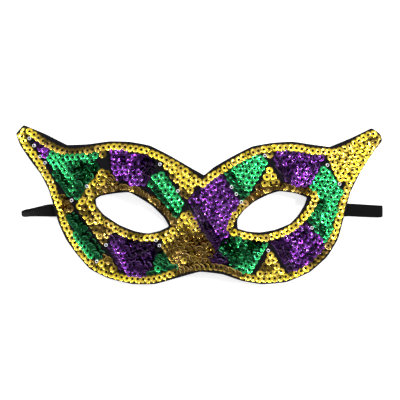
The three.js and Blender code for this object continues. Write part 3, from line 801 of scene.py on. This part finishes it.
patches = [
    {"node": "purple_horn_left",
     "spots": [(-104, 38.8), (-101.6, 36.4), (-99.4, 34.6), (-97.2, 34.4), (-98.6, 32.2)],
     "along": -32, "lean": (-0.1, -0.24), "jitter": 0.14, "zones": [(-99, 34, -97.6, 33.4, 2, "bright")]},
    {"node": "green_temple_left",
     "corners": [(-98.4, 28), (-94.5, 35.5), (-65, 34.5), (-64, 23.5), (-79.4, 0.5), (-90.5, 13.6)],
     "along": 125.4, "lean": "dark", "gap": 3.0,
     "zones": [(-94, 30.4, -67, 30.6, 2.4, "bright"), (-95.4, 28, -89, 25.5, 2.2, "bright"),
               (-89, 25.5, -81, 16, 1.8, "bright"), (-80, 13, -78, 7, 2, (0.0, -0.02)),
               (-92, 20, -85, 9, 2.6, (-0.16, -0.38))]},
    {"node": "gold_temple_left",
     "corners": [(-92.5, 12.5), (-87, 6.6), (-81, 1), (-81.6, -6.5), (-88, -6)],
     "along": -66, "lean": (-0.1, -0.34), "jitter": 0.2},
    {"node": "gold_eye_left",
     "corners": [(-62.3, 25), (-79.4, -0.4), (-62, -25.6), (-40, 0), (-55, 19)],
     "along": 57, "lean": (0.06, -0.24), "jitter": 0.14,
     "zones": [(-70, 10, -63, 19.5, 2.4, (0.06, 0.16)), (-76, 0, -73, 3, 2, "bright"),
               (-58.6, 18, -55, 15, 2.6, "brown")]},
    {"node": "gold_chip_left", "spots": [(-62, 32.4)], "along": 0, "lean": (0.0, -0.25)},
    {"node": "purple_brow_left", "threads": [(-37, 15, -30.6, 27, 9, 12)],
     "corners": [(-57.4, 35), (-55.8, 22), (-50.6, 12), (-36.5, 10.5), (-29, 20.5), (-29, 31),
                 (-52, 36.5)],
     "along": 0, "lean": (0.15, 0.2), "jitter": 0.2,
     "zones": [(-32.4, 27, -31, 21, 4, "dark"), (-36.6, 24, -33, 15, 2.6, "dark"),
               (-56, 14, -54, 17, 2, "brown"), (-55, 31.5, -36, 31, 2.2, (0.1, 0.17))]},
    {"node": "green_brow_left",
     "spots": [(-24.6, 19.1), (-21.9, 16.2), (-20.2, 13), (-18.2, 10), (-16.1, 7), (-14.1, 3.9),
               (-12.2, 0.8), (-28.5, 17.9), (-26.2, 15.3), (-24.2, 12.3), (-22, 9.3), (-20, 6.5),
               (-18, 3.5), (-15.8, 0.4), (-13.9, -2.4), (-31, 13.4), (-29, 11), (-27, 8.6), (-25, 6),
               (-22.6, 3.4), (-20, 0.6), (-17.6, -2.6), (-15.4, -5.6)],
     "along": 120, "lean": "bright", "zones": [(-29.5, 10.4, -15.6, -7, 1.7, "dark")]},
    {"node": "gold_crown",
     "spots": [(-20.9, 24.6), (-17.8, 22.4), (-13.9, 19.8), (-10.5, 17.5), (-7.1, 15.5), (-4.3, 13.5),
               (-7.8, 12.2), (-6.2, 9.6), (-11.2, 14.2), (-14.4, 16.2), (-17.2, 18.8), (-10.8, 10.8),
               (-8, 6.2), (-10.6, 7.6)],
     "along": -36, "lean": "bright",
     "zones": [(-17.6, 18.4, -10.4, 7.4, 1.5, "brown"), (-8, 6.2, -8, 5, 1.5, "mid")]},
    {"node": "purple_nose", "threads": [(-5, 0, 8.6, -25, 7, 14)],
     "corners": [(2, 12), (-9.4, 2.4), (7.6, -28.4), (15, -27), (27, 2), (14.6, 22)],
     "along": 122, "lean": (0.04, 0.07), "jitter": 0.13,
     "zones": [(-4.5, -3, 8.6, -24, 4, "dark"), (-3, 7, 0, 9, 2.4, "mid")]},
    {"node": "gold_nose",
     "corners": [(-8, -1.4), (-26, -25.6), (-16, -39), (5, -40), (9.4, -28.6)],
     "along": 122, "lean": (-0.15, -0.325), "jitter": 0.07, "gap": 2.9,
     "zones": [(-9.6, -6, -3, -15, 1.7, (0.04, 0.08)), (-22.6, -24.4, -13, -13.4, 2.0, (0.02, 0.06))]},
    {"node": "purple_chin",
     "spots": [(8.8, -33.6), (6.2, -35.4), (9.8, -35.6), (12.2, -32), (12.8, -35.6), (15.6, -34.6),
               (16.2, -37.6), (18.8, -38.2)],
     "along": 0, "lean": (-0.2, -0.44), "jitter": 0.1},
    {"node": "green_brow_right", "corners": [(14, 22.6), (26.8, 0), (43, 26.4), (38.6, 34.6)],
     "along": 239.5, "lean": "bright", "zones": [(16.6, 20, 28, 3, 2.6, "dark")]},
    {"node": "gold_chip_right", "spots": [(44.4, 32.4)], "along": 0, "lean": (0.04, -0.16)},
    {"node": "gold_brow_right",
     "spots": [(48.8, 14.6), (45, 14.3), (41.2, 14), (37.6, 11.6), (46.4, 18.2), (42.6, 17.8),
               (44.2, 21.8)],
     "along": 59, "lean": (0.08, 0.18), "jitter": 0.14,
     "zones": [(43.6, 23, 44, 21, 2, "bright"), (37, 11, 38, 12, 2.2, "brown")]},
    {"node": "purple_brow_right", "threads": [(49, 26.6, 57, 13.6, 5, 8)],
     "corners": [(46.6, 29.4), (59.2, 8.4), (67.6, 8.4), (80, 31), (76, 34.6), (50.5, 37)],
     "along": -58, "lean": (0.14, 0.17), "jitter": 0.2, "zones": [(48.5, 26, 56.6, 13, 2.8, "dark")]},
    {"node": "green_temple_right",
     "corners": [(79.4, 26.6), (67.8, 8.6), (68, -8), (81.6, -28.6), (97, -2), (94.4, 3.6)],
     "along": 239.5, "lean": "bright",
     "zones": [(76.6, 2.4, 76, -2.6, 1.8, "dark"), (71.6, -11, 77.6, -19, 1.9, "dark")]},
    {"node": "gold_horn_right", "corners": [(79.6, 33.6), (93, 5), (124, 54)], "spots": [(97.2, 22.2)],
     "along": 238.6, "lean": (0.06, 0.17), "jitter": 0.05,
     "zones": [(108, 42, 111, 40, 2.2, (0.26, -0.26))]},
    {"node": "purple_cheek_right", "threads": [(49, -24, 58.4, -43, 6.5, 12)],
     "corners": [(44.4, -21.4), (60, -48), (82, -27), (67.6, -7)],
     "along": 119.5, "lean": (0.15, 0.19), "jitter": 0.2,
     "zones": [(48.4, -24, 60, -43, 3.2, "dark"), (70, -34.6, 76, -30, 2, (-0.1, -0.3))]},
    {"node": "green_cheek_right",
     "corners": [(12, -27.6), (24, -46), (29.4, -47.6), (43.4, -25.2), (44, -20.6), (20.4, -14.6)],
     "along": 239.5, "lean": "dark", "jitter": 0.09, "gap": 2.9,
     "zones": [(41, -26, 30.6, -43, 1.7, "bright"), (26, -37.6, 31, -41, 2.6, (0.0, 0.0)),
               (22.8, -20.4, 25.4, -24.4, 2.2, (0.02, 0.04))]},
    {"node": "gold_cheek_right",
     "spots": [(44, -35.6), (41.8, -38.8), (45.2, -39), (40.2, -41.4), (43.6, -41.2), (47, -41),
               (44.8, -32), (46.8, -35.3), (48.8, -38.8), (51.6, -42.4), (38.3, -44), (41.8, -43.8),
               (45.2, -43.4), (48.4, -42.9)],
     "along": 122.5, "lean": (-0.1, -0.3), "jitter": 0.1,
     "zones": [(44.6, -31.4, 52, -43, 2.0, (0.08, 0.16)), (37.6, -44.2, 52, -43, 2.0, (0.08, 0.16))]},
    {"node": "purple_cheek_left", "threads": [(-46, -27, -29, -24, 10, 7), (-44, -34, -29, -26, 6, 6)],
     "corners": [(-58, -19), (-59.6, -26), (-46.6, -49), (-36, -49), (-25.6, -27.4), (-27, -21)],
     "along": 297, "lean": "dark", "jitter": 0.1, "gap": 2.8,
     "zones": [(-56, -23.6, -54, -25, 1.8, (0, 0)), (-52.6, -26, -46.6, -40.6, 1.3, (0.12, 0.18)),
               (-42, -44, -38, -43, 1.8, (-0.04, -0.08))]},
    {"node": "green_chin", "corners": [(-25, -28), (-36.4, -49), (-19, -49), (-11.6, -40)],
     "along": 59, "lean": "brown", "jitter": 0.12, "zones": [(-27, -39, -26.6, -40.4, 2, "bright")]},
    {"node": "green_cheek_left",
     "corners": [(-83.5, -5.4), (-89, -11), (-68, -39.5), (-60.2, -31), (-79, -4.6)],
     "along": 127, "lean": (-0.24, -0.5), "jitter": 0.05,
     "zones": [(-82, -15.6, -71, -32, 1.6, (0.04, 0.08)), (-70.6, -30.4, -69.6, -32, 2, "bright")]},
    {"node": "gold_cheek_left", "corners": [(-60, -29.4), (-70, -40.4), (-48, -49)],
     "along": 140, "lean": (0.0, 0.0), "jitter": 0.16, "zones": [(-60.6, -33, -58, -36, 1.8, "brown")]},
]
fill = {
    "seed": 40,
    "hem": 1.7,  # from the edge of a patch to the middle of a sequin
    "rowClear": 3.3,
    "beadClear": 3.2,
    "sample": 0.4,  # step between the places that are tried
    "shortRow": 3.0,
    "fullRow": 0.3,  # share of the longest row that the first and last rows need
    "roundUp": 0.6,
    "loose": 2.9,  # widest place left bare
}
beads = [  # x and y
    (-109, 42.5), (-106, 38), (-102, 31), (-99, 27), (-82, 3), (-72, 12), (-25.5, 26), (-14, 9), (-60, -25.5),
    (-66, -36), (-28, -22.5), (-25.8, -25.8), (81.2, 25.5), (89, 13.5), (71.5, -14.5), (20, 11.5), (23, 7),
    (43.5, -29), (41.3, 31.5), (26.2, 2),
]


def freeSpots(spots, corners):  # where a patch may hold the middle of a sequin
    free = inside(spots, corners)
    free[free] = awayFrom(spots[free], corners) >= fill["hem"]
    for side, path in rowPaths.items():
        near = spots[free]
        free[free] = (inside(near, path) == (side == "edge")) & (awayFrom(near, path) >= fill["rowClear"])
    for bead in beads:
        free[free] = np.hypot(*(spots[free] - bead).T) >= fill["beadClear"]
    return free


def rowRuns(row):  # unbroken runs of a row of yes and no
    marks = np.flatnonzero(np.diff(np.concatenate(((0,), row.astype(int), (0,)))))
    return list(zip(marks[::2], marks[1::2] - 1))


def patchSpots(patch):
    angle = math.radians(patch["along"])
    u = np.array((math.cos(angle), math.sin(angle)))
    v = np.array((-u[1], u[0]))
    spots = [np.array(spot, float) for spot in patch.get("spots", ())]
    if "corners" not in patch:
        return spots, u
    corners = np.array(patch["corners"], float)
    us, vs = (np.arange((corners @ way).min(), (corners @ way).max(), fill["sample"]) for way in (u, v))
    lattice = us[None, :, None] * u + vs[:, None, None] * v
    free = freeSpots(lattice.reshape(-1, 2), corners).reshape(len(vs), len(us))
    held = free.sum(1)
    levels = np.flatnonzero(held >= max(fill["shortRow"] / fill["sample"], fill["fullRow"] * held.max()))
    rowCount = round((vs[levels[-1]] - vs[levels[0]]) / patch.get("gap", cup["gap"])) + 1
    rowLevels = np.linspace(levels[-1], levels[0], rowCount) if rowCount > 1 else [levels[len(levels) // 2]]
    for level in rowLevels:
        level = int(round(level))
        for first, last in rowRuns(free[level]):
            places = lattice[level, first : last + 1]
            stood = np.array([onEdge(turnedTo(place, patch)) for place in places])
            density = fill["sample"] / pitchAt(stood)
            run = np.cumsum(density) - density[0]
            count = int(run[-1] + fill["roundUp"])
            wanted = np.linspace(0, run[-1], count + 1) if count else [run[-1] / 2]
            spots += [places[int(round(k))] for k in np.interp(wanted, run, np.arange(len(run)))]
    rest = lattice[free]
    room = np.min([np.hypot(*(rest - spot).T) for spot in spots], axis=0)
    while room.max() > fill["loose"]:  # places that the rows have left bare
        spot = rest[room.argmax()]
        spots.append(spot)
        room = np.minimum(room, np.hypot(*(rest - spot).T))
    return spots, u


def patchThreads(patch, dice):
    threads = []
    for x1, y1, x2, y2, width, count in patch.get("threads", ()):
        ends = np.array(((x1, y1), (x2, y2)), float)
        across = np.array((y1 - y2, x2 - x1)) / norm(ends[1] - ends[0]) * width / 2
        for line in range(count):
            start, end = (spot + across * dice.uniform(-1, 1) for spot in ends)
            threads.append(threadTube(start, end, dice))
    return threads


sewn = 0
for number, patch in enumerate(patches):
    node = patch["node"]
    dice = random.Random(fill["seed"] + number)
    spots, along = patchSpots(patch)
    cups = [sewnCup(spot, along, turnedTo(spot, patch), dice, jitter=patch.get("jitter")) for spot in spots]
    sewPiece(node + "_sewn", node, node.split("_")[0], cups, patchThreads(patch, dice))
    sewn += len(cups)
print("patches sewn:", sewn, "sequins")


# seed beads

bead = {
    "radius": 1.1, "hole": 0.66, "height": 1.4, "seat": 0.3,
    "sides": 20, "steps": 14,
    "round": 0.8,  # below 1 for fuller sides
    "thread": (-0.45, 0.32),  # ends of the thread in the hole, as shares of the height from the middle
    "threadOver": 0.03,
}


def beadCurve(wave):
    return math.copysign(abs(wave) ** bead["round"], wave)


def buildBead(number, x, y):
    middleR, halfR = (bead["radius"] + bead["hole"]) / 2, (bead["radius"] - bead["hole"]) / 2
    loop = []
    for a in anglesOf(bead["steps"]):
        loop.append((middleR + halfR * beadCurve(math.cos(a)), bead["height"] / 2 * beadCurve(math.sin(a))))
    local, faces = lathe(loop, bead["sides"], flip=True)
    middle = clothPoint(x, y, form["wall"] + bead["seat"] + bead["height"] / 2)
    axes = axesOn(clothNormal(x, y))
    right, up, out = axes
    points, glass = list(middle + local @ axes), len(faces)
    ends = [middle + out * bead["height"] * share for share in bead["thread"]]
    addOn(points, faces, tube(ends, up, right, bead["hole"] + bead["threadOver"], bead["sides"]))
    name = f"{number:02d}"
    materials, nodes = [beadGlass, threadBlack], ["seed_bead_" + name]
    makePiece("bead_" + name, points, faces, materials, nodes, sharp=80.0, secondFrom=glass)


for number, (x, y) in enumerate(beads, 1):
    buildBead(number, x, y)
print("beads made:", len(beads))


# the elastic head strap

strap = {
    "width": 7.6, "thick": 1.0,
    "seat": 1.45,  # from the back of the mask to the middle of the sewn ends
    "perSpan": 6, "across": 27,  # steps along and across
    "ribs": 9, "ribDepth": 0.07,
    "selvage": 5, "leastEdge": 0.02,  # the higher the first, the squarer the edges
    "picks": 1.6,  # cross threads in a millimetre
}
laid = strap["thick"] / 2
strapRoute = [  # x, y, z or none where it is sewn to the mask, and degrees that its brow-side edge is raised
    (77, -2, None, 14), (84, -2.2, None, 14), (91, -2.6, None, 12), (99, -3, 4.3, 8), (107, -3.5, 4.2, 4),
    (113.2, -3.9, 4.3, 2), (115.8, -4, 3.7, 0), (116.5, -4, 2.4, 0), (115.8, -4.1, 1.1, 0),
    (113.2, -4.2, laid, 0), (104, -3.9, laid, 0), (92, -3.6, laid, 0), (82, -5.8, laid, 0),
    (71, -13, laid, 0), (58, -22.5, laid, 0), (42, -29.8, laid, 0), (22, -33, laid, 0), (0, -33.8, laid, 0),
    (-22, -33, laid, 0), (-44, -30, laid, 0), (-62, -23, laid, 0), (-77, -13.5, laid, 0), (-87, -5.2, 0.8, 4),
    (-93, -3.2, 1.5, 14), (-98, -3.1, 2.3, 30), (-103, -3.6, 3.1, 46), (-108.5, -4.2, 3.6, 60),
    (-112.6, -4.75, 3.9, 68), (-113.8, -5.4, 4.2, 68), (-112.6, -6, 4.5, 68), (-108.5, -5.4, 4.4, 60),
    (-103, -4.7, 4.4, 46), (-98, -4.1, 4.4, 30), (-93, -3.8, 3.9, 16), (-88, -3.6, None, 14),
    (-82, -3.5, None, 14), (-75, -3.5, None, 14),
]
strapRaised = [row[3] for row in strapRoute]
strapPoints = []
for x, y, z, raised in strapRoute:
    strapPoints.append(np.array((x, y, backHeight(x, y) - strap["seat"] if z is None else z)))


def strapPoint(where):  # where: a number along the route, 0 at its first point
    row = min(int(where), len(strapPoints) - 2)
    return curvePoint(strapPoints, row, where - row)


def strapFrame(where):  # middle, across and outward
    nearby = 1e-3
    after = strapPoint(min(where + nearby, len(strapPoints) - 1.0))
    ahead = unit(after - strapPoint(max(where - nearby, 0.0)))
    lean = math.radians(np.interp(where, range(len(strapRaised)), strapRaised))
    across = np.array((0.0, math.cos(lean), math.sin(lean)))
    across = unit(across - ahead * float(across @ ahead))
    return strapPoint(where), across, np.cross(ahead, across)


stitch = {
    "radius": 0.2, "sides": 6,
    "count": 5,  # to a side of the box
    "hem": 1.3, "near": 0.12, "far": 1.15,  # the box, from the strap's edge and along the route
    "path": ((0.08, -0.12), (0.3, 0.1), (0.7, 0.1), (0.92, -0.12)),  # share of a stitch, height
}


def strapStitches():  # a sewn box with a cross at each end, on the side away from the mask
    last = len(strapRoute) - 1
    hem = strap["width"] / 2 - stitch["hem"]
    tubes = []
    for near, far in ((stitch["near"], stitch["far"]), (last - stitch["near"], last - stitch["far"])):
        box = [(near, -hem), (near, hem), (far, hem), (far, -hem)]
        for a, b in list(zip(box, box[1:] + box[:1])) + [(box[0], box[2]), (box[1], box[3])]:
            a, b = np.array(a), np.array(b)
            for k in range(stitch["count"]):
                middles = []
                for t, raised in stitch["path"]:
                    where, w = a + (b - a) * (k + t) / stitch["count"]
                    middle, across, outward = strapFrame(where)
                    middles.append(middle + across * w - outward * (strap["thick"] / 2 + raised))
                side = unit(np.cross(middles[-1] - middles[0], outward))
                tubes.append(tube(middles, side, outward, stitch["radius"], stitch["sides"]))
    return tubes


def buildStrap():
    half = strap["width"] / 2
    face = []
    for k in range(strap["across"]):
        w = -half + strap["width"] * k / (strap["across"] - 1)
        full = math.sqrt(max(1 - abs(w / half) ** strap["selvage"], strap["leastEdge"]))
        rib = strap["ribDepth"] * 0.5 * (math.cos(w / strap["width"] * strap["ribs"] * math.tau) - 1)
        face.append((w, (strap["thick"] / 2 + rib) * full))
    loop = face + [(w, -h) for w, h in reversed(face)]
    stations = np.linspace(0, len(strapRoute) - 1, (len(strapRoute) - 1) * strap["perSpan"] + 1)
    points, weave, travelled, last = [], [], 0.0, strapPoints[0]
    for where in stations:
        middle, across, outward = strapFrame(where)
        travelled += float(norm(middle - last))
        last = middle
        for w, h in loop:
            spot = middle + across * w + outward * h
            spot[2] = max(spot[2], 0.0)
            points.append(spot)
            weave.append((travelled * strap["picks"], w * strap["ribs"] * 2 / strap["width"], 0.0))
    rings = ringsOf(len(stations), len(loop))
    faces = joinRings(rings, flip=True) + [rings[0][::-1], rings[-1]]
    woven = len(faces)
    for part in strapStitches():
        addOn(points, faces, part)
    weave += [(0.0, 0.0, 0.0)] * (len(points) - len(weave))
    materials = [elasticWeave, threadBlack]
    piece = makePiece(
        "strap_elastic", points, faces, materials, ["elastic_strap"], sharp=50.0, secondFrom=woven
    )
    giveValues(piece, "weaveAt", weave, "FLOAT_VECTOR")
    return travelled


print("strap made, mm long:", round(buildStrap()))


# floor, light and camera

stage = {
    "floor": (0.7, 0.7, 0.7, 1),
    "glow": 0.62,
    "reach": 4.0,
    "drop": 0.0003,  # floor under the mask
    "world": 0.26,
    "boxes": (  # lights that face straight down: place, width, length, radiance
        ("topPanel", (0.55, 1.0, 1.2), 2.4, 3.1, 1.33),
        ("softbox", (0.54, 0.78, 1.19), 0.98, 0.98, 0.9),
        ("sideBox", (-0.42, 0.55, 1.18), 0.55, 0.6, 1.1),
    ),
    "key": 115.0,
    "keySize": 0.11,
    "keys": ((0.7, 0.8, 1.15), (0.14, 0.83, 1.15), (0.58, 0.13, 1.15), (-0.35, 0.5, 1.15)),
}
view = {
    "pixels": 400,  # width of the square picture
    "pixel": 0.64,  # millimetres that one pixel shows
    "middleRow": 205,  # row of the picture where the mask's middle lies
    "distance": 6.0, "sensor": 36.0, "clip": 20.0,
}


def areaLight(name, place, target, sizeX, sizeY, radiance):
    light = bpy.data.lights.new(name, "AREA")
    light.shape = "RECTANGLE"
    light.size, light.size_y = sizeX, sizeY
    light.energy = radiance * math.pi * sizeX * sizeY
    lamp = bpy.data.objects.new(name, light)
    lamp.location = place
    lamp.rotation_mode = "QUATERNION"
    lamp.rotation_quaternion = (Vector(target) - Vector(place)).to_track_quat("-Z", "Y")
    lamp.visible_camera = False
    scene.collection.objects.link(lamp)


def buildStage():
    mesh = bpy.data.meshes.new("floor")
    reach = stage["reach"]
    corners = [(x * reach, y * reach, -stage["drop"]) for x, y in ((-1, -1), (1, -1), (1, 1), (-1, 1))]
    mesh.from_pydata(corners, [], [(0, 1, 2, 3)])
    mesh.materials.append(newMaterial("paleFloor", {
        "Base Color": stage["floor"], "Roughness": 0.75, "Emission Color": (1, 1, 1, 1),
        "Emission Strength": stage["glow"],
    })[0])
    floor = bpy.data.objects.new("floor", mesh)
    scene.collection.objects.link(floor)
    world = bpy.data.worlds.new("studio")
    world.use_nodes = True
    back = world.node_tree.nodes["Background"]
    back.inputs["Color"].default_value = (1, 1, 1, 1)
    back.inputs["Strength"].default_value = stage["world"]
    scene.world = world
    for name, place, sizeX, sizeY, radiance in stage["boxes"]:
        areaLight(name, place, (place[0], place[1], 0.0), sizeX, sizeY, radiance)
    for number, place in enumerate(stage["keys"]):
        areaLight(f"keyLamp{number}", place, (0, 0, 0), stage["keySize"], stage["keySize"], stage["key"])
    scene.view_settings.view_transform = "Standard"


def buildCamera():
    camera = bpy.data.cameras.new("camera")
    camera.sensor_width = view["sensor"]
    camera.lens = view["sensor"] * view["distance"] / (view["pixels"] * view["pixel"] * mm)
    camera.clip_end = view["clip"]
    eye = bpy.data.objects.new("camera", camera)
    fromMiddle = view["middleRow"] - view["pixels"] / 2
    eye.location = (0, fromMiddle * view["pixel"] * mm, view["distance"])
    scene.collection.objects.link(eye)
    scene.camera = eye


buildStage()
buildCamera()

bpy.context.view_layer.update()
